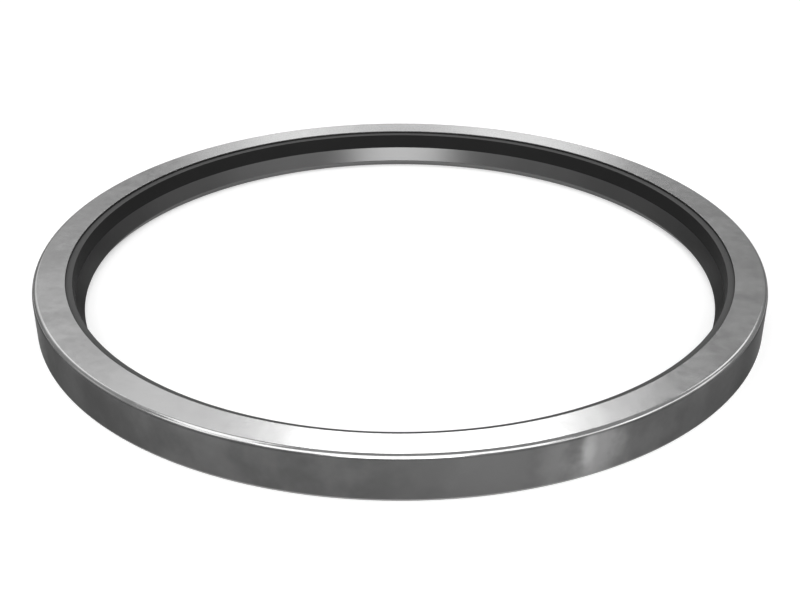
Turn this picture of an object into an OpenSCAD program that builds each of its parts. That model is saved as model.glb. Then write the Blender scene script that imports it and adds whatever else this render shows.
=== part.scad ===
// Metal-cased rod seal: a pressed steel case, a rubber lip moulded onto the edge of its
// flange, and a garter spring that sits in the groove behind the lip.
// Z is the rod's axis. The rim on the oil side stands on z = 0 and the flange faces up,
// towards the air side.

/* [Fit] */
// Diameter of the rod that the lip runs on
rod_d = 150; // [60:0.5:250]
// Radial depth of the seal, from the rod to the housing bore that it is pressed into
seal_depth = 10; // [8:0.5:20]
// Width of the seal along the rod
seal_w = 10; // [9:0.5:14]

/* [Case] */
// Thickness of the steel sheet
sheet_t = 1; // [0.8:0.05:1.5]
// Inside radius of the bend between the wall and the flange
bend_in_r = 0.15; // [0.1:0.05:1]
// Radius of the lead-in round the foot of the wall
lead_r = 0.6; // [0.3:0.05:0.7]
// Radial gap between the rod and the edge of the flange
flange_gap = 2.7; // [2.4:0.05:3.5]
// Radius that breaks the sheet's cut edges
edge_r = 0.08; // [0.05:0.01:0.12]

/* [Rubber on the flange] */
// Depth of the rubber ledge below the flange's face
ledge_depth = 0.65; // [0.3:0.05:0.7]
// Thickness of the rubber layer under the flange
bond_t = 0.8; // [0.5:0.05:1]
// How far that layer reaches under the flange from its edge
bond_reach = 3.3; // [2:0.1:4]
// Radius of the layer's moulded outer corner
bond_r = 0.3; // [0.1:0.05:0.4]

/* [Flex section] */
// Radial gap between the rod and the shoulder above the lip
shoulder_gap = 0.85; // [0.6:0.05:1.1]
// Draft of the rubber wall between the shoulder and the ledge, in degrees
wall_draft = 4.5; // [1:0.5:6]
// Thickness of the wall that lets the lip follow the rod
flex_t = 1.1; // [0.8:0.05:1.3]
// Radius of the roots at both ends of the flex section
root_r = 0.8; // [0.3:0.05:1]

/* [Lip] */
// Radial squeeze of the free lip on the rod
lip_squeeze = 0.8; // [0.4:0.05:1.1]
// Length of the narrow band at the lip's tip
tip_band = 0.2; // [0.15:0.05:0.4]
// Angle of the flank on the air side, from the rod's axis, in degrees
air_angle = 26; // [21:1:32]
// Angle of the flank on the oil side, from the rod's axis, in degrees
oil_angle = 43; // [38:1:50]
// Radial height of the flank on the oil side
oil_flank_h = 1.55; // [1.2:0.05:1.8]
// Height of the lip's heel above the rim of the case
heel_gap = 0.35; // [0.2:0.05:0.8]
// Radius of the corners behind the heel and on top of the groove's cheek
heel_r = 0.3; // [0.1:0.05:0.4]
// Radius of the two corners in the bore, at the heel and at the ledge
trim_r = 0.1; // [0.05:0.01:0.2]

/* [Spring and groove] */
// Outside diameter of the spring's coil
spring_d = 2.4; // [2:0.05:2.7]
// Room round the coil in its groove, to each side
groove_clearance = 0.05; // [0.02:0.01:0.1]
// Rubber between the lip's tip and the bottom of the groove
lip_t = 1.4; // [1.2:0.05:1.7]
// Offset of the spring from the tip, towards the air side
spring_offset = 0.5; // [0.2:0.05:0.8]
// How far the groove's cheeks reach past the groove's centre
cheek_reach = 0.85; // [0.6:0.05:1]
// Radius of the cheeks' rims, which let the spring snap in
cheek_rim_r = 0.2; // [0.1:0.01:0.25]
// Thickness of the cheek on the air side, above its rim
cheek_t = 0.45; // [0.35:0.05:0.8]

/* [Hidden] */
$fn = 144;
rod_r = rod_d / 2;

// How far a rounding reaches into the sides that it blends with, so that none is missed
blend_overlap = 0.00003;

// The case
case_r = rod_r + seal_depth;
wall_in_r = case_r - sheet_t;
flange_r = rod_r + flange_gap;
under_flange_z = seal_w - sheet_t;
bend_out_r = bend_in_r + sheet_t;

// The lip's profile, worked out from the heel upwards
tip_r = rod_r - lip_squeeze;
heel_z = heel_gap;
heel_corner_r = tip_r + oil_flank_h;
band_low_z = heel_z + oil_flank_h / tan(oil_angle);
band_high_z = band_low_z + tip_band;
shoulder_r = rod_r + shoulder_gap;
shoulder_z = band_high_z + (shoulder_r - tip_r) / tan(air_angle);

// The groove and the spring in it, which bears on the bottom of the groove
groove_r = spring_d / 2 + groove_clearance;
groove_centre_r = tip_r + lip_t + groove_r;
groove_z = (band_low_z + band_high_z) / 2 + spring_offset;
spring_centre_r = tip_r + lip_t + spring_d / 2;
cheek_r = groove_centre_r + cheek_reach;
cheek_rim_in = cheek_reach - cheek_rim_r;
cheek_rim_h = sqrt(pow(groove_r + cheek_rim_r, 2) - pow(cheek_rim_in, 2));
cheek_top_z = groove_z + cheek_rim_h + cheek_t;

// The flex section and the rubber on the flange
ledge_z = seal_w - ledge_depth;
ledge_in_r = wall_r(ledge_z);
bond_z = under_flange_z - bond_t;
bond_out_r = flange_r + bond_reach;
flex_low_z = cheek_top_z + cheek_r - wall_r(cheek_top_z) - flex_t;

// Radius of the rubber's bore at a height above the shoulder
function wall_r(z) = shoulder_r + (z - shoulder_z) * tan(wall_draft);

// Unit vector from one point towards another
function heading(from, to) = (to - from) / norm(to - from);

// Positive where the outline turns left at its corner p
function turn(a, p, b) = cross(p - a, b - p);

// The patch between a corner p, its neighbours a and b, and an arc that rounds it.
// It reaches past the corner by a share of the radius, so that its straight sides
// never lie along the outline's own.
module corner_patch(a, p, b, r) {
    to_a = heading(p, a);
    to_b = heading(p, b);
    half_angle = acos(to_a * to_b) / 2;
    setback = r / tan(half_angle);
    centre = p + heading([0, 0], to_a + to_b) * r / sin(half_angle);
    past = 1.2;
    difference() {
        polygon([for (q = [p + to_a * setback, p, p + to_b * setback]) centre + (q - centre) * past,
                 centre]);
        translate(centre) circle(r = r + blend_overlap);
    }
}

// An outline drawn anticlockwise, with each corner rounded by its own radius.
// A corner that turns left loses its patch, and one that turns right gains it.
// It is drawn about its first corner, because small coordinates keep more digits.
module rounded_outline(points, radii) {
    n = len(points);
    local = [for (p = points) p - points[0]];
    translate(points[0])
        difference() {
            union() {
                polygon(local);
                for (i = [0 : n - 1]) {
                    a = local[(i + n - 1) % n];
                    b = local[(i + 1) % n];
                    if (radii[i] > 0 && turn(a, local[i], b) < 0) corner_patch(b, local[i], a, radii[i]);
                }
            }
            for (i = [0 : n - 1]) {
                a = local[(i + n - 1) % n];
                b = local[(i + 1) % n];
                if (radii[i] > 0 && turn(a, local[i], b) > 0) corner_patch(a, local[i], b, radii[i]);
            }
        }
}

// The pressed case: a wall that grips the housing and a flange that closes the air side
module case_section() {
    rounded_outline(
        [[case_r, 0], [case_r, seal_w], [flange_r, seal_w],
         [flange_r, under_flange_z], [wall_in_r, under_flange_z], [wall_in_r, 0]],
        [lead_r, bend_out_r, edge_r, 0, bend_in_r, edge_r]);
}

module outer_case() {
    color("silver") rotate_extrude() case_section();
}

// The rubber before its groove is cut: bonded root, flex section and lip
module lip_blank_section() {
    rounded_outline(
        [[heel_corner_r, heel_z], [cheek_r, heel_z], [cheek_r, cheek_top_z],
         [wall_r(flex_low_z) + flex_t, flex_low_z], [wall_r(bond_z) + flex_t, bond_z],
         [bond_out_r - bond_t, bond_z], [bond_out_r, under_flange_z],
         [flange_r, under_flange_z], [flange_r, ledge_z], [ledge_in_r, ledge_z],
         [shoulder_r, shoulder_z], [tip_r, band_high_z], [tip_r, band_low_z]],
        [trim_r, heel_r, heel_r,
         root_r, root_r,
         bond_r, 0,
         0, 0, trim_r,
         0, 0, 0]);
}

// The groove's round bed and the mouth between the centres of its two rims
module groove_section() {
    rim_r = groove_centre_r + cheek_rim_in;
    past_r = cheek_r + spring_d;
    translate([groove_centre_r, groove_z]) circle(r = groove_r);
    polygon([[groove_centre_r, groove_z], [rim_r, groove_z - cheek_rim_h],
             [past_r, groove_z - cheek_rim_h], [past_r, groove_z + cheek_rim_h],
             [rim_r, groove_z + cheek_rim_h]]);
}

module sealing_lip() {
    color([0.09, 0.09, 0.09])
        rotate_extrude()
            union() {
                difference() {
                    lip_blank_section();
                    groove_section();
                }
                for (side = [-1, 1])
                    translate([groove_centre_r + cheek_rim_in, groove_z + side * cheek_rim_h])
                        circle(r = cheek_rim_r + blend_overlap);
            }
}

// The close-wound coil, as the ring that its turns fill
module garter_spring() {
    color("lightsteelblue")
        rotate_extrude()
            translate([spring_centre_r, groove_z]) circle(d = spring_d);
}

outer_case();
sealing_lip();
garter_spring();
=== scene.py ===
"""A metal-cased rod seal on a pale floor: the pressed steel case, the black rubber lip that is
moulded onto its flange, and the coiled garter spring in the groove behind the lip.

Everything is in metres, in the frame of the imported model. Z is the rod's axis, the rim on
the oil side stands on z = 0 and the flange faces up, towards the air side.
"""
import math

import bpy
import numpy as np
from bpy.props import FloatProperty, FloatVectorProperty, IntProperty, PointerProperty
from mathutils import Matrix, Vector


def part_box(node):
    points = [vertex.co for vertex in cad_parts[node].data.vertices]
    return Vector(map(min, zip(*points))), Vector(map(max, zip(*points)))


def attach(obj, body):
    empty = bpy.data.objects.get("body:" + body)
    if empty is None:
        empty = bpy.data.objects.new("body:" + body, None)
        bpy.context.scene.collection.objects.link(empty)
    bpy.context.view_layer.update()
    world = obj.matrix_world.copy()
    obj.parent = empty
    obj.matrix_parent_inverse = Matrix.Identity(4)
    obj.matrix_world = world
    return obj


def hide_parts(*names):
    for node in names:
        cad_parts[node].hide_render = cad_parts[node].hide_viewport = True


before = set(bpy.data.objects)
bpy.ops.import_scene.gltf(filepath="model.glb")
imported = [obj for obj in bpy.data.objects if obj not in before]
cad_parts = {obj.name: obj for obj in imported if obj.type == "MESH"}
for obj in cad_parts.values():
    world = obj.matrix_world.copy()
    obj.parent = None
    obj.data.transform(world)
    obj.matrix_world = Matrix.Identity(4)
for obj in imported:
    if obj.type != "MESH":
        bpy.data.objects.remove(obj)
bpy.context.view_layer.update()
SPRING_LOW, SPRING_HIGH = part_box("garter_spring")

bl_info = {
    "name": "Rod Seal",
    "version": (1, 0, 0),
    "blender": (4, 5, 0),
    "location": "3D View > Sidebar > Rod Seal",
    "description": "Builds a metal-cased rod seal with its rubber lip and coiled garter spring",
    "category": "Object",
}


# Sizes and colours that a user would change

def size(name, about, default):
    """A length in metres."""
    return FloatProperty(name=name, description=about, default=default, min=0,
                         unit="LENGTH", precision=5)


def angle(name, about, degrees):
    """An angle, with its default in degrees."""
    return FloatProperty(name=name, description=about, default=math.radians(degrees),
                         subtype="ANGLE")


def colour(name, about, level):
    """A grey of that level, which the user can turn into any colour."""
    return FloatVectorProperty(name=name, description=about, default=(level,) * 3,
                               subtype="COLOR", min=0, max=1)


def share(name, about, default):
    """A number from 0 to 1."""
    return FloatProperty(name=name, description=about, default=default, min=0, max=1,
                         subtype="FACTOR")


class CaseSizes(bpy.types.PropertyGroup):
    """The pressed steel case."""

    outer_r: size("Outer radius", "Radius of the wall that grips the housing", 0.085)
    height: size("Height", "Height from the oil-side rim to the flange's face", 0.010)
    flange_r: size("Flange edge", "Radius of the flange's cut edge", 0.0777)
    sheet: size("Sheet", "Thickness of the steel sheet", 0.001)
    bend_in_r: size("Bend", "Inside radius of the bend between wall and flange", 0.00015)
    lead_r: size("Lead-in", "Radius of the lead-in round the foot of the wall", 0.0006)
    edge_r: size("Edge", "Radius that breaks the sheet's cut edges", 0.00008)
    flange_colour: colour("Flange colour", "Colour of the bright satin sheet", 0.55)
    # Painted shade: the outer wall's colour is darkened to stand in for the dark surroundings
    # that the wall mirrors
    wall_shade_colour: colour("Wall colour", "Colour of the darker skin on the outer wall", 0.112)
    # Painted shade: the flange's inward cut edge is coloured dark as if in shade, which also
    # keeps glints off its rounding
    edge_shade_colour: colour("Primer colour", "Colour of the primed cut edge of the flange", 0.17)
    flange_roughness: share("Flange roughness", "How dull the flange is", 0.21)
    wall_roughness: share("Wall roughness", "How dull the outer wall is", 0.38)


class LipSizes(bpy.types.PropertyGroup):
    """The moulded rubber lip."""

    tip_r: size("Tip", "Radius of the free lip's tip", 0.0742)
    tip_band: size("Tip band", "Length of the narrow band at the tip", 0.0002)
    air_angle: angle("Air flank", "Angle of the flank on the air side, from the rod's axis", 26)
    oil_angle: angle("Oil flank", "Angle of the flank on the oil side, from the rod's axis", 43)
    oil_flank_h: size("Oil flank height", "Radial height of the flank on the oil side", 0.00155)
    heel_z: size("Heel", "Height of the lip's heel above the case's rim", 0.00035)
    heel_r: size("Heel corner", "Radius of the corners behind the heel and over the groove",
                 0.0003)
    trim_r: size("Bore corners", "Radius of the corners in the bore, at heel and ledge", 0.0001)
    shoulder_r: size("Shoulder", "Radius of the shoulder above the lip", 0.07585)
    wall_draft: angle("Wall draft", "Draft of the rubber wall above the shoulder", 4.5)
    flex_t: size("Flex section", "Thickness of the wall that lets the lip follow the rod", 0.0011)
    root_r: size("Roots", "Radius of the roots at both ends of the flex section", 0.0008)
    ledge_depth: size("Ledge", "Depth of the ledge below the flange's face", 0.00065)
    bond_t: size("Layer", "Thickness of the layer under the flange", 0.0008)
    bond_reach: size("Layer's reach", "How far the layer reaches under the flange", 0.0033)
    bond_r: size("Layer's corner", "Radius of the layer's outer corner", 0.0003)
    lip_t: size("Lip", "Rubber between the tip and the bottom of the groove", 0.0014)
    spring_offset: size("Spring offset", "Offset of the spring from the tip", 0.0005)
    groove_r: size("Groove", "Radius of the groove's round bed", 0.00125)
    cheek_reach: size("Cheeks", "How far the cheeks reach past the groove's centre", 0.00085)
    cheek_rim_r: size("Cheek rims", "Radius of the cheeks' rims", 0.0002)
    cheek_t: size("Upper cheek", "Thickness of the cheek on the air side", 0.00045)
    rubber_colour: colour("Rubber colour", "Colour of the rubber", 0.021)
    # Painted sheen: the ledge's lighter colour stands in for the light that its upward face
    # catches
    ledge_sheen_colour: colour("Ledge colour", "Colour of the dusty bloom on the ledge", 0.09)
    film_colour: colour("Film colour", "Colour of the dark film on the lip's flanks", 0.13)
    film_roughness: share("Film roughness", "How dull that film is", 0.31)
    rubber_roughness: share("Rubber roughness", "How dull the matt rubber is", 0.6)


class SpringSizes(bpy.types.PropertyGroup):
    """The close-wound garter spring."""

    coil_d: size("Coil", "Outside diameter of the coil", SPRING_HIGH[2] - SPRING_LOW[2])
    wire_d: size("Wire", "Diameter of the drawn wire", 0.0005)
    turns: IntProperty(name="Turns", description="Turns round the whole ring", default=940, min=3)
    wire_colour: colour("Wire colour", "Colour of the drawn steel wire", 0.55)


class StudioSettings(bpy.types.PropertyGroup):
    """The floor and the soft light."""

    floor_r: size("Floor", "Radius of the floor", 9.0)
    floor_colour: colour("Floor colour", "Colour of the plain floor", 0.6)
    floor_glow: share("Floor glow", "White that the camera and reflections see added to the "
                      "floor round the seal. Further out it is 1", 0.54)
    room_light: FloatProperty(name="Room light", description="Brightness of the room",
                              default=0.36, min=0)


# Shader maths

class Signal:
    """An output of a shader node. Python's operators on it add Math nodes."""

    def __init__(self, tree, socket):
        self.tree = tree
        self.socket = socket

    @classmethod
    def add(cls, tree, kind, inputs=None, output=0, **settings):
        """Adds a node of that kind: first its settings, then values or links for its sockets."""
        node = tree.nodes.new(kind)
        for name, value in settings.items():
            setattr(node, name, value)
        for name, value in (inputs or {}).items():
            if isinstance(value, Signal):
                tree.links.new(value.socket, node.inputs[name])
            else:
                node.inputs[name].default_value = value
        return cls(tree, node.outputs[output]) if node.outputs else None

    def node(self, kind, inputs=None, output=0, **settings):
        """A node in the same tree."""
        return Signal.add(self.tree, kind, inputs, output, **settings)

    def math(self, operation, first, second=0.0):
        """A Math node on two values, either of which may be a number."""
        return self.node("ShaderNodeMath", {0: first, 1: second}, operation=operation)

    def __add__(self, other):
        return self.math("ADD", self, other)

    __radd__ = __add__

    def __sub__(self, other):
        return self.math("SUBTRACT", self, other)

    def __rsub__(self, other):
        return self.math("SUBTRACT", other, self)

    def __mul__(self, other):
        return self.math("MULTIPLY", self, other)

    __rmul__ = __mul__

    def __truediv__(self, other):
        return self.math("DIVIDE", self, other)

    def __rtruediv__(self, other):
        return self.math("DIVIDE", other, self)

    def __pow__(self, other):
        return self.math("POWER", self, other)

    def __rpow__(self, other):
        return self.math("POWER", other, self)

    def rise(self, low, high):
        """0 below low, 1 above high and a smooth step between."""
        return self.node("ShaderNodeMapRange", {"Value": self, "From Min": low, "From Max": high},
                         interpolation_type="SMOOTHSTEP")

    def past(self, edge, start_and_end):
        """0 before an edge and 1 past it. The step starts and ends at these distances from it."""
        start, end = start_and_end
        return self.rise(edge + start, edge + end)

    def split(self):
        """The three parts of a vector."""
        parts = self.node("ShaderNodeSeparateXYZ", {"Vector": self})
        return [Signal(self.tree, socket) for socket in parts.socket.node.outputs]

    def noise(self, scale, detail=2.0, roughness=0.5):
        """Noise at this place, from about 0.25 to 0.75."""
        return self.node("ShaderNodeTexNoise", {"Vector": self, "Scale": scale, "Detail": detail,
                                                "Roughness": roughness}, output="Fac")

    def blend(self, low, high):
        """The colour low where this is 0 and high where it is 1."""
        return self.node("ShaderNodeMix", {0: self, 6: low, 7: high}, output=2, data_type="RGBA")


def new_material(name):
    """An empty material, and the place on the object as a signal."""
    material = bpy.data.materials.new(name)
    material.use_nodes = True
    material.node_tree.nodes.clear()
    return material, Signal.add(material.node_tree, "ShaderNodeTexCoord", output="Object")


PRINCIPLED = "ShaderNodeBsdfPrincipled"


def end_surface(shader):
    """Gives a material's surface this shader."""
    shader.node("ShaderNodeOutputMaterial", {"Surface": shader})


def grey(tone, times=1.0):
    """A colour with its alpha, times a number that makes it lighter or darker."""
    return [min(c * times, 1.0) for c in tone] + [1.0]


def from_axis(x, y):
    """Distance from the rod's axis, the root of x squared plus y squared."""
    return (x * x + y * y) ** 0.5


# Where the case's finishes start and are full, and where its painted shade on the outer wall and
# on the cut edge starts and is full, in metres from the face of the outer wall, its foot, the
# flange's face and the flange's edge
WALL_SHADE_INWARD = (-0.0003, -0.0001)
WALL_SHADE_ABOVE_FOOT = (0.00045, 0.0007)
WALL_SHADE_BELOW_FLANGE = (-0.0005, -0.00035)
BURNISHED_INWARD = (-0.0013, -0.001)
RIM_INWARD = (-0.0009, -0.0005)
BRIGHT_ABOVE_FOOT = (0.0006, 0.001)
SHADED_OUTWARD = (0.00001, 0.00008)

# Share of its mirror light that a metal or a film keeps at a glancing view. The less it
# keeps, the darker its edge is
FLANGE_GLANCE, RIM_GLANCE, WALL_SHADE_GLANCE = 1.0, 0.25, 0.38
AIR_FILM_GLANCE, OIL_FILM_GLANCE = 0.23, 0.4

# The matt rubber's gloss, and the share of it that is left when seen face on
RUBBER_GLOSS, RUBBER_FACE_ON = 0.03, 0.25

# Patches where the outer wall's painted shade is made lighter or darker: compass angle in
# degrees, height and reach in metres, and the share of the wall's colour. The lighter patches
# near 155 degrees are a painted reflection
WALL_PATCHES_AND_REFLECTION = (
    (128.5, 0.005, 0.010, 1.2),
    (167, 0.005, 0.022, 1.25),
    (160.5, 0.005, 0.006, 1.6),
    (154.4, 0.005, 0.0085, 2.3),
    (155.9, 0.006, 0.0022, 3.2),
    (220.5, 0.006, 0.009, 0.87),
    (231.5, 0.005, 0.010, 1.25),
    (241, 0.005, 0.008, 0.88),
)


def make_case_steel(case):
    """Bright satin sheet with soft clouds and smears, burnished over the bend, whose outer rim
    darkens at a glancing view. The cut edge is painted dark, a painted shade. The outer wall is
    duller, and its darker colour is painted shade that stands in for the dark surroundings it
    mirrors, with lighter and darker patches, one of them a painted reflection."""
    material, place = new_material("case_steel")
    x, y, z = place.split()
    radius = from_axis(x, y)
    clouds = place.noise(55.0, 4.0, 0.55)
    haze = place.noise(150.0, 3.0, 0.6)
    mottle = place.noise(520.0, 3.0, 0.55)
    swell = place.noise(100.0, 2.0, 0.45) + place.noise(1400.0, 2.0, 0.5) * 0.13
    smears = place.node("ShaderNodeCombineXYZ", {
        "X": radius * 110.0, "Y": x / radius * 40.0, "Z": y / radius * 40.0}).noise(1.0, 2.0, 0.5)

    # Mask of the outer wall's painted shade
    wall = (radius.past(case.outer_r, WALL_SHADE_INWARD) * z.past(0, WALL_SHADE_ABOVE_FOOT)
            * (1 - z.past(case.height, WALL_SHADE_BELOW_FLANGE)))
    bend = radius.past(case.outer_r, BURNISHED_INWARD)
    rim = radius.past(case.outer_r, RIM_INWARD)
    # Mask of the painted shade on the flange's cut edge
    shaded = 1 - radius.past(case.flange_r, SHADED_OUTWARD)

    steel = (clouds * 0.35 + haze * 0.35 + mottle * 0.2 + smears * 0.1).rise(0.37, 0.63).blend(
        grey(case.flange_colour, 0.92), grey(case.flange_colour, 1.07))
    steel = z.past(0, BRIGHT_ABOVE_FOOT).blend(grey(case.flange_colour, 0.6), steel)
    # Painted shade on the cut edge
    steel = shaded.blend(steel, grey(case.edge_shade_colour))
    # Painted shade: the outer wall's dark colour stands in for the dark surroundings that it
    # mirrors
    shading = (clouds * 0.6 + haze * 0.4).rise(0.32, 0.68).blend(
        grey(case.wall_shade_colour, 0.8), grey(case.wall_shade_colour, 1.25))
    # Painted reflection near 155 degrees. Elsewhere the wall's painted shade is made lighter or
    # darker in patches
    for turn, height, reach, lighter in WALL_PATCHES_AND_REFLECTION:
        away_x = x - case.outer_r * math.sin(math.radians(turn))
        away_y = y - case.outer_r * math.cos(math.radians(turn))
        away_z = (z - height) * 0.4
        away = (away_x * away_x + away_y * away_y + away_z * away_z) ** 0.5
        near = 1 - (away + (haze - 0.5) * (1.4 * reach)).rise(0.0, reach)
        shading = near.blend(shading, grey(case.wall_shade_colour, lighter))

    bump = place.node("ShaderNodeBump", {"Strength": 0.35, "Distance": 0.00012, "Height": swell},
                      output="Normal")
    dull = (haze - 0.5) * 0.13 + (mottle - 0.5) * 0.08 + (smears - 0.5) * 0.03
    flange_dull = dull + case.flange_roughness - bend * 0.07
    wall_dull = dull + case.wall_roughness
    satin, glancing, dark = (
        place.node(PRINCIPLED, {"Base Color": tone, "Metallic": 1.0, "Normal": bump,
                                "Roughness": roughness, "Specular Tint": grey((glance,) * 3)})
        for tone, roughness, glance in ((steel, flange_dull, FLANGE_GLANCE),
                                        (steel, flange_dull, RIM_GLANCE),
                                        (shading, wall_dull, WALL_SHADE_GLANCE)))
    top = place.node("ShaderNodeMixShader", {0: rim, 1: satin, 2: glancing})
    end_surface(place.node("ShaderNodeMixShader", {0: wall, 1: top, 2: dark}))
    return material


# Where finishes of the rubber and the ledge's painted sheen start and are full, in metres from
# the radius and height of the shoulder above the lip, from the heel, the lower end of the tip's
# band and the ledge
FILM_BEHIND_SHOULDER = (0.00005, 0.00025)
FILM_AT_SHOULDER = (-0.000045, 0.000035)
FILM_ABOVE_HEEL = (0.00001, 0.00015)
AIR_FILM_AT_BAND = (-0.000062, 0.000038)
SHEEN_AT_LEDGE = (-0.00004, -0.00001)


def make_rubber(lip, case):
    """Black moulded rubber. Its bore wall is matt, and its ledge is painted lighter, a painted
    sheen for the light its upward face catches. The two flanks of the lip carry a thin dark film
    that shines like graphite."""
    material, place = new_material("seal_rubber")
    x, y, z = place.split()
    band_z, _, shoulder_z, ledge_z = lip_heights(lip, case)
    clouds = place.noise(70.0, 3.0, 0.5)
    grain = place.noise(5000.0, 2.0, 0.5)

    film = ((1 - from_axis(x, y).past(lip.shoulder_r, FILM_BEHIND_SHOULDER))
            * z.past(lip.heel_z, FILM_ABOVE_HEEL)
            * (1 - z.past(shoulder_z, FILM_AT_SHOULDER)) * 0.92)
    air_side = z.past(band_z, AIR_FILM_AT_BAND)
    # Painted sheen on the ledge
    ledge_sheen = z.past(ledge_z, SHEEN_AT_LEDGE).blend(grey(lip.rubber_colour),
                                                    grey(lip.ledge_sheen_colour))
    shade = 0.88 + clouds * 0.24
    shade = shade.node("ShaderNodeCombineXYZ", {axis: shade for axis in "XYZ"})
    rubber, air_film, oil_film = (
        place.node("ShaderNodeMix", {0: 1.0, 6: tone, 7: shade}, output=2,
                   data_type="RGBA", blend_type="MULTIPLY")
        for tone in (ledge_sheen, grey(lip.film_colour), grey(lip.film_colour, 1.7)))

    bump = place.node("ShaderNodeBump", {"Strength": 0.1, "Distance": 0.00001, "Height": grain},
                      output="Normal")
    matt = place.node(PRINCIPLED, {"Base Color": rubber, "Specular IOR Level": RUBBER_GLOSS,
                                   "Specular Tint": grey((RUBBER_FACE_ON,) * 3), "Normal": bump,
                                   "Roughness": (clouds - 0.5) * 0.15 + lip.rubber_roughness})
    film_dull = (clouds - 0.5) * 0.04 + lip.film_roughness
    oil_shine, air_shine = (
        place.node(PRINCIPLED, {"Base Color": tone, "Metallic": 1.0, "Roughness": film_dull,
                                "Specular Tint": grey((glance,) * 3)})
        for tone, glance in ((oil_film, OIL_FILM_GLANCE), (air_film, AIR_FILM_GLANCE)))
    shine = place.node("ShaderNodeMixShader", {0: air_side, 1: oil_shine, 2: air_shine})
    end_surface(place.node("ShaderNodeMixShader", {0: film, 1: matt, 2: shine}))
    return material


def make_spring_steel(spring):
    """Bright drawn wire, a little darker where the oil has stayed on it."""
    material, place = new_material("spring_steel")
    clouds = place.noise(140.0, 3.0, 0.6)
    wire = clouds.rise(0.3, 0.7).blend(grey(spring.wire_colour, 0.85),
                                       grey(spring.wire_colour, 1.08))
    end_surface(place.node(PRINCIPLED, {"Base Color": wire, "Metallic": 1.0,
                                        "Roughness": 0.24 + (clouds - 0.5) * 0.2}))
    return material


# Surfaces

RING_SEGMENTS = 720

# Section points nearer to each other than this, in metres, are one place on the ring
ONE_PLACE = 1e-8

# Facets of each rounded corner of the case and of the rubber, of the rims of the groove's
# cheeks and of the groove's bed
CASE_FACETS, RUBBER_FACETS, RIM_FACETS, BED_FACETS = 10, 7, 8, 26

# Steps of the spring's wire in each turn of the coil, and sides of the wire
WIRE_STEPS, WIRE_SIDES = 12, 6


def unit(vectors):
    """The vectors, each divided by its length."""
    return vectors / np.maximum(np.linalg.norm(vectors, axis=-1, keepdims=True), 1e-12)


def round_corners(corners, radii, steps):
    """A closed section, drawn anticlockwise, with an arc in place of each corner.

    The arc's centre lies on the corner's bisector, radius / sin(half the angle) away from
    it. The normal swings evenly from the one side's to the other's, and the arc's points
    are the centre plus radius times the normal, or minus it where the section is hollow.
    Gives the points and the outward normals, as corners by steps + 1 by 2.
    """
    corners, radii = np.array(corners), np.array(radii)[:, None]
    back, ahead = unit(np.roll(corners, 1, 0) - corners), unit(np.roll(corners, -1, 0) - corners)
    half = np.arccos((back * ahead).sum(1, keepdims=True)) / 2
    centre = corners + unit(back + ahead) * radii / np.sin(half)
    first, last = back @ [[0, 1], [-1, 0]], ahead @ [[0, -1], [1, 0]]
    swing = math.pi - 2 * half
    share = np.linspace(0, 1, steps + 1)
    weights = np.stack([np.sin((1 - share) * swing), np.sin(share * swing)], -1)
    weights /= np.sin(swing)[..., None]
    normals = weights[..., :1] * first[:, None] + weights[..., 1:] * last[:, None]
    hollow = (back * last).sum(1)[:, None, None] > 0
    return centre[:, None] + np.where(hollow, -1, 1) * radii[..., None] * normals, normals


def arc(centre, radius, start, end, steps, side):
    """Points of an arc between two angles, and its normals, outward for side 1."""
    turn = np.linspace(start, end, steps + 1)
    spokes = np.stack([np.cos(turn), np.sin(turn)], 1)
    return np.array(centre) + radius * spokes, side * spokes


def revolve(name, section, normals, material):
    """The ring that a closed section sweeps round the axis.

    A point at radius r and height z goes to (r cos a, r sin a, z) for each angle a, and its
    normal turns with it. Section points that stand in one place share their vertices but
    keep their own normals, so a corner stays sharp and the ring stays closed.
    """
    apart = np.linalg.norm(np.roll(section, -1, 0) - section, axis=1) > ONE_PLACE
    place = (np.cumsum(apart) - apart) % apart.sum()
    turn = np.arange(RING_SEGMENTS)[:, None] * 2 * math.pi / RING_SEGMENTS
    around = np.concatenate([np.cos(turn), np.sin(turn)], 1)

    def swept(pairs, spots):
        """Each pair of radius and height, turned to each of these spots round the ring."""
        heights = np.repeat(pairs[:, None, 1:], len(spots), 1)
        return np.concatenate([pairs[:, None, :1] * around[spots], heights], 2)

    here = np.flatnonzero(apart)
    after = (here + 1) % len(section)
    spot = np.arange(RING_SEGMENTS)
    beside = (spot + 1) % RING_SEGMENTS
    points = swept(section[np.unique(place, return_index=True)[1]], spot)
    ends = ((here, spot), (here, beside), (after, beside), (after, spot))
    quads = np.stack([place[k][:, None] * RING_SEGMENTS + j for k, j in ends], -1)
    turned = np.stack([swept(normals[k], j) for k, j in ends], 2)
    return new_mesh(name, points.reshape(-1, 3), quads.reshape(-1, 4), turned.reshape(-1, 3),
                    material)


def case_section(case):
    """The L-shaped section of the sheet, anticlockwise from the foot of the outer wall."""
    wall_in_r, under_z = case.outer_r - case.sheet, case.height - case.sheet
    points, normals = round_corners(
        [[case.outer_r, 0], [case.outer_r, case.height], [case.flange_r, case.height],
         [case.flange_r, under_z], [wall_in_r, under_z], [wall_in_r, 0]],
        [case.lead_r, case.bend_in_r + case.sheet, case.edge_r, 0, case.bend_in_r, case.edge_r],
        CASE_FACETS)
    return points.reshape(-1, 2), normals.reshape(-1, 2)


def lip_heights(lip, case):
    """Heights of the tip's band, lower and upper end, of the shoulder and of the ledge.

    Each flank rises by its radial height over the tangent of its angle from the axis.
    """
    low_z = lip.heel_z + lip.oil_flank_h / math.tan(lip.oil_angle)
    high_z = low_z + lip.tip_band
    shoulder_z = high_z + (lip.shoulder_r - lip.tip_r) / math.tan(lip.air_angle)
    return low_z, high_z, shoulder_z, case.height - lip.ledge_depth


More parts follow.
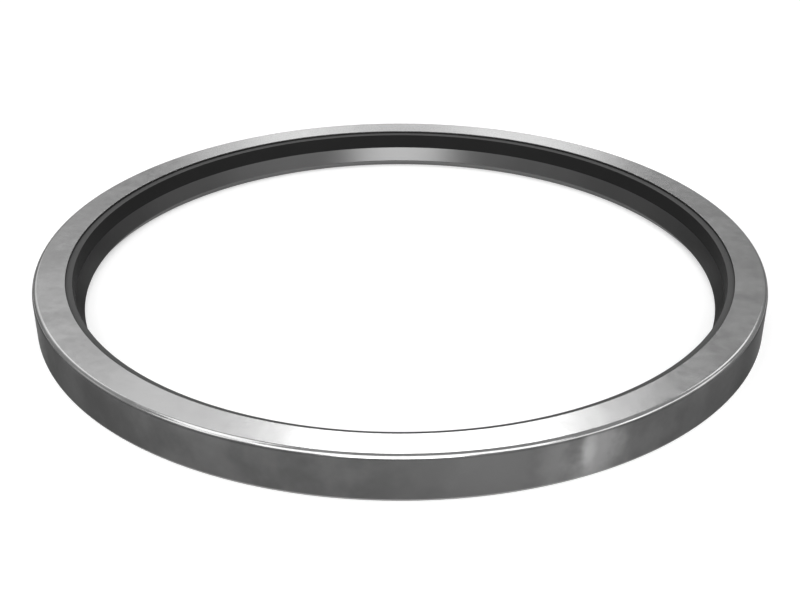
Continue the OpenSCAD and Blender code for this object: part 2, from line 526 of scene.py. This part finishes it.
def lip_section(lip, case):
    """The rubber's section, anticlockwise from its heel: up the back of the lip with the
    groove, along the flex section, round the layer on the flange and down the bore."""
    low_z, high_z, shoulder_z, ledge_z = lip_heights(lip, case)

    def wall_r(z):
        return lip.shoulder_r + (z - shoulder_z) * math.tan(lip.wall_draft)

    groove = np.array([lip.tip_r + lip.lip_t + lip.groove_r,
                       (low_z + high_z) / 2 + lip.spring_offset])
    cheek_r = groove[0] + lip.cheek_reach
    rim_in = lip.cheek_reach - lip.cheek_rim_r
    rim_h = math.sqrt((lip.groove_r + lip.cheek_rim_r) ** 2 - rim_in ** 2)
    cheek_top_z = groove[1] + rim_h + lip.cheek_t
    flex_low_z = cheek_top_z + cheek_r - wall_r(cheek_top_z) - lip.flex_t
    under_z = case.height - case.sheet
    layer_z, layer_r = under_z - lip.bond_t, case.flange_r + lip.bond_reach
    corners = [[lip.tip_r + lip.oil_flank_h, lip.heel_z], [cheek_r, lip.heel_z],
               [cheek_r, cheek_top_z], [wall_r(flex_low_z) + lip.flex_t, flex_low_z],
               [wall_r(layer_z) + lip.flex_t, layer_z], [layer_r - lip.bond_t, layer_z],
               [layer_r, under_z], [case.flange_r, under_z], [case.flange_r, ledge_z],
               [wall_r(ledge_z), ledge_z], [lip.shoulder_r, shoulder_z],
               [lip.tip_r, high_z], [lip.tip_r, low_z]]
    points, normals = round_corners(
        corners, [lip.trim_r, lip.heel_r, lip.heel_r, lip.root_r, lip.root_r, lip.bond_r,
                  0, 0, 0, lip.trim_r, 0, 0, 0], RUBBER_FACETS)
    open_at = math.atan2(rim_h, rim_in)
    arcs = (arc(groove + [rim_in, -rim_h], lip.cheek_rim_r, 0, math.pi - open_at, RIM_FACETS, 1),
            arc(groove, lip.groove_r, 2 * math.pi - open_at, open_at, BED_FACETS, -1),
            arc(groove + [rim_in, rim_h], lip.cheek_rim_r, open_at - math.pi, 0, RIM_FACETS, 1))
    return [np.concatenate([flat[:2].reshape(-1, 2), *(a[k] for a in arcs),
                            flat[2:].reshape(-1, 2)])
            for k, flat in enumerate((points, normals))]


def new_mesh(name, points, quads, normals, material):
    """An object at the origin from arrays of points, quads and one normal per face corner."""
    mesh = bpy.data.meshes.new(name)
    mesh.from_pydata(points, [], quads)
    mesh.polygons.foreach_set("use_smooth", np.ones(len(quads), bool))
    mesh.normals_split_custom_set(normals)
    mesh.materials.append(material)
    mesh.validate()
    obj = bpy.data.objects.new(name, mesh)
    bpy.context.scene.collection.objects.link(obj)
    return obj


def coil_ring(name, ring_r, ring_z, coil_r, wire_r, turns, material):
    """A coil wound round a ring.

    With t from 0 to 1 round the ring, the wire's middle stands at the ring's own point plus
    coil_r at the angle turns * 2 pi * t in the ring's section. Round that line runs a circle
    of wire_r, in the plane across the wire's direction: one axis is the coil's spoke, the
    other is the direction crossed with the spoke.
    """
    count = turns * WIRE_STEPS
    t = np.arange(count)[:, None] * 2 * math.pi / count
    out = np.concatenate([np.cos(t), np.sin(t), 0 * t], 1)
    up = np.array([0.0, 0.0, 1.0])
    wind = t * turns
    spoke = np.cos(wind) * out + np.sin(wind) * up
    middle = ring_r * out + ring_z * up + coil_r * spoke
    ahead = unit(np.roll(middle, -1, 0) - np.roll(middle, 1, 0))
    across = np.cross(ahead, spoke)
    around = np.arange(WIRE_SIDES)[None, :, None] * 2 * math.pi / WIRE_SIDES
    spread = np.cos(around) * spoke[:, None] + np.sin(around) * across[:, None]
    points = (middle[:, None] + wire_r * spread).reshape(-1, 3)
    i, j = np.meshgrid(np.arange(count), np.arange(WIRE_SIDES), indexing="ij")
    i2, j2 = (i + 1) % count, (j + 1) % WIRE_SIDES
    ends = ((i, j), (i2, j), (i2, j2), (i, j2))
    quads = np.stack([step * WIRE_SIDES + side for step, side in ends], -1).reshape(-1, 4)
    return new_mesh(name, points, quads, unit(spread.reshape(-1, 3))[quads.ravel()], material)


# Operators

class SEAL_OT_case(bpy.types.Operator):
    """Form the pressed case with its satin flange"""

    bl_idname = "seal.case"
    bl_label = "Outer case"

    def execute(self, context):
        case = context.scene.seal_case
        shell = revolve("case_shell", *case_section(case), make_case_steel(case))
        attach(shell, "root")
        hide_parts("outer_case")
        return {"FINISHED"}


class SEAL_OT_lip(bpy.types.Operator):
    """Mould the rubber lip onto the flange"""

    bl_idname = "seal.lip"
    bl_label = "Sealing lip"

    def execute(self, context):
        lip, case = context.scene.seal_lip, context.scene.seal_case
        rubber = revolve("lip_rubber", *lip_section(lip, case), make_rubber(lip, case))
        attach(rubber, "root")
        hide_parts("sealing_lip")
        return {"FINISHED"}


class SEAL_OT_spring(bpy.types.Operator):
    """Wind the garter spring into the groove"""

    bl_idname = "seal.spring"
    bl_label = "Garter spring"

    def execute(self, context):
        spring = context.scene.seal_spring
        ring_r = SPRING_HIGH[0] - spring.coil_d / 2
        ring_z = (SPRING_LOW[2] + SPRING_HIGH[2]) / 2
        coil = coil_ring("spring_coil", ring_r, ring_z, (spring.coil_d - spring.wire_d) / 2,
                         spring.wire_d / 2, spring.turns, make_spring_steel(spring))
        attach(coil, "root")
        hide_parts("garter_spring")
        return {"FINISHED"}


# The floor lies this far under the seal's rim, so that the two never share a plane. Its extra
# glow rises to full white between these two distances from the axis
FLOOR_DROP = 0.00002
FLOOR_SIDES = 128
GLOW_FROM, GLOW_TO = 0.3, 1.5

# Lens and sensor width in millimetres, place in metres, tilt in degrees up from straight down
LENS, SENSOR_WIDTH = 55.32, 36
CAMERA_PLACE, CAMERA_TILT = (0, -0.263638, 0.138616), 61.528

# Name, compass angle from +Y towards +X, height angle, width and height as seen from the
# seal, all in degrees, and radiance
SOFT_BOXES = (
    ("front_box", 180, 34.5, 31, 16, 7.1),
    ("front_top", 180, 59.5, 66, 33, 1.7),
    ("back_high", 1.9, 38.5, 13.4, 8, 4.2),
    ("back_right_high", 11.5, 36.5, 6, 10, 0.9),
    ("back_left_near", -11, 35, 11, 9, 0.73),
    ("back_left_high", -30, 35.5, 15, 12, 0.82),
    ("back_left", -33, 34, 32, 22, 0.17),
    ("back_left_low", -33.5, 23.5, 19, 12, 0.4),
    ("back_low", 0.3, 20.5, 22, 8, 0.64),
    ("back_low_left", -5.4, 20.5, 5, 8, 0.53),
    ("back_low_right", 6.7, 20.5, 6.9, 8, 0.56),
    ("back_right", 35, 35.5, 16, 11, 1.25),
    ("right", 75, 30, 16, 14, 1.0),
    ("right_near", 95, 37, 20, 12, 1.25),
    ("front_right", 121, 35, 32, 18, 0.92),
    ("left", -79, 27, 14, 14, 0.3),
    ("left_top", -68, 62, 42, 15, 1.5),
    ("front_left", -113, 40, 22, 18, 1.15),
)
LAMP_DISTANCE = 3.0


def soft_box(name, azimuth, elevation, width, height, radiance):
    """A soft lamp that faces the seal's centre. Its power is radiance x pi x area."""
    turn, rise = math.radians(azimuth), math.radians(elevation)
    aim = Vector((math.sin(turn) * math.cos(rise), math.cos(turn) * math.cos(rise),
                  math.sin(rise)))
    lamp = bpy.data.lights.new(name, "AREA")
    lamp.shape = "RECTANGLE"
    lamp.size, lamp.size_y = (2 * LAMP_DISTANCE * math.tan(math.radians(side) / 2)
                              for side in (width, height))
    lamp.energy = radiance * math.pi * lamp.size * lamp.size_y
    obj = bpy.data.objects.new(name, lamp)
    obj.location = aim * LAMP_DISTANCE
    obj.rotation_euler = aim.to_track_quat("Z", "Y").to_euler()
    obj.visible_camera = False
    bpy.context.scene.collection.objects.link(obj)


def make_floor_paper(studio):
    """Pale paper that glows for the camera and for reflections, and is clear from below."""
    material, place = new_material("floor_paper")
    seen = place.node("ShaderNodeLightPath", output="Is Camera Ray")
    for kind in ("Is Glossy Ray", "Is Transmission Ray"):
        seen = seen.math("MAXIMUM", seen, place.node("ShaderNodeLightPath", output=kind))
    x, y, _ = place.split()
    far = from_axis(x, y).rise(GLOW_FROM, GLOW_TO)
    strength = seen * (studio.floor_glow + far * (1 - studio.floor_glow))
    glow = place.node("ShaderNodeEmission", {"Strength": strength})
    paper = place.node("ShaderNodeBsdfDiffuse", {"Color": grey(studio.floor_colour)})
    paper = place.node("ShaderNodeAddShader", {0: paper, 1: glow})
    back = place.node("ShaderNodeNewGeometry", output="Backfacing")
    clear = place.node("ShaderNodeBsdfTransparent")
    end_surface(place.node("ShaderNodeMixShader", {0: back, 1: paper, 2: clear}))
    return material


def lay_floor(studio):
    """A flat disc, whose rim points stand at floor_r times the cosine and sine of each angle."""
    turn = np.arange(FLOOR_SIDES) * 2 * math.pi / FLOOR_SIDES
    rim = np.stack([np.cos(turn), np.sin(turn), 0 * turn], 1) * studio.floor_r
    mesh = bpy.data.meshes.new("floor")
    mesh.from_pydata(rim - [0, 0, FLOOR_DROP], [], [list(range(FLOOR_SIDES))])
    mesh.materials.append(make_floor_paper(studio))
    floor = bpy.data.objects.new("floor", mesh)
    bpy.context.scene.collection.objects.link(floor)


class SEAL_OT_stage(bpy.types.Operator):
    """Set up the floor, the soft light and the camera"""

    bl_idname = "seal.stage"
    bl_label = "Stage"

    def execute(self, context):
        scene, studio = context.scene, context.scene.seal_studio
        lay_floor(studio)
        room = bpy.data.worlds.new("room")
        room.use_nodes = True
        background = room.node_tree.nodes["Background"]
        background.inputs["Color"].default_value = (1, 1, 1, 1)
        background.inputs["Strength"].default_value = studio.room_light
        scene.world = room

        for box in SOFT_BOXES:
            soft_box(*box)

        camera = bpy.data.objects.new("camera", bpy.data.cameras.new("camera"))
        camera.data.lens, camera.data.sensor_width = LENS, SENSOR_WIDTH
        camera.data.clip_start, camera.data.clip_end = 0.01, 20
        camera.location = CAMERA_PLACE
        camera.rotation_euler = (math.radians(CAMERA_TILT), 0, 0)
        scene.collection.objects.link(camera)
        scene.camera = camera
        scene.view_settings.view_transform = "Standard"
        return {"FINISHED"}


class SEAL_PT_panel(bpy.types.Panel):
    """Lists the seal's pieces and their sizes"""

    bl_idname = "SEAL_PT_panel"
    bl_label = "Rod Seal"
    bl_space_type = "VIEW_3D"
    bl_region_type = "UI"
    bl_category = "Rod Seal"

    def draw(self, context):
        for operator, group in (("seal.case", "seal_case"), ("seal.lip", "seal_lip"),
                                ("seal.spring", "seal_spring"), ("seal.stage", "seal_studio")):
            box = self.layout.box()
            box.operator(operator)
            sizes = getattr(context.scene, group)
            for name in sizes.bl_rna.properties.keys():
                if name not in ("rna_type", "name"):
                    box.prop(sizes, name)


GROUPS = {"seal_case": CaseSizes, "seal_lip": LipSizes, "seal_spring": SpringSizes,
          "seal_studio": StudioSettings}
CLASSES = (*GROUPS.values(), SEAL_OT_case, SEAL_OT_lip, SEAL_OT_spring, SEAL_OT_stage,
           SEAL_PT_panel)


def register():
    for item in CLASSES:
        bpy.utils.register_class(item)
    for name, group in GROUPS.items():
        setattr(bpy.types.Scene, name, PointerProperty(type=group))


def unregister():
    for name in GROUPS:
        delattr(bpy.types.Scene, name)
    for item in reversed(CLASSES):
        bpy.utils.unregister_class(item)


def main():
    register()
    bpy.ops.seal.case()
    bpy.ops.seal.lip()
    bpy.ops.seal.spring()
    bpy.ops.seal.stage()


if __name__ == "__main__":
    main()
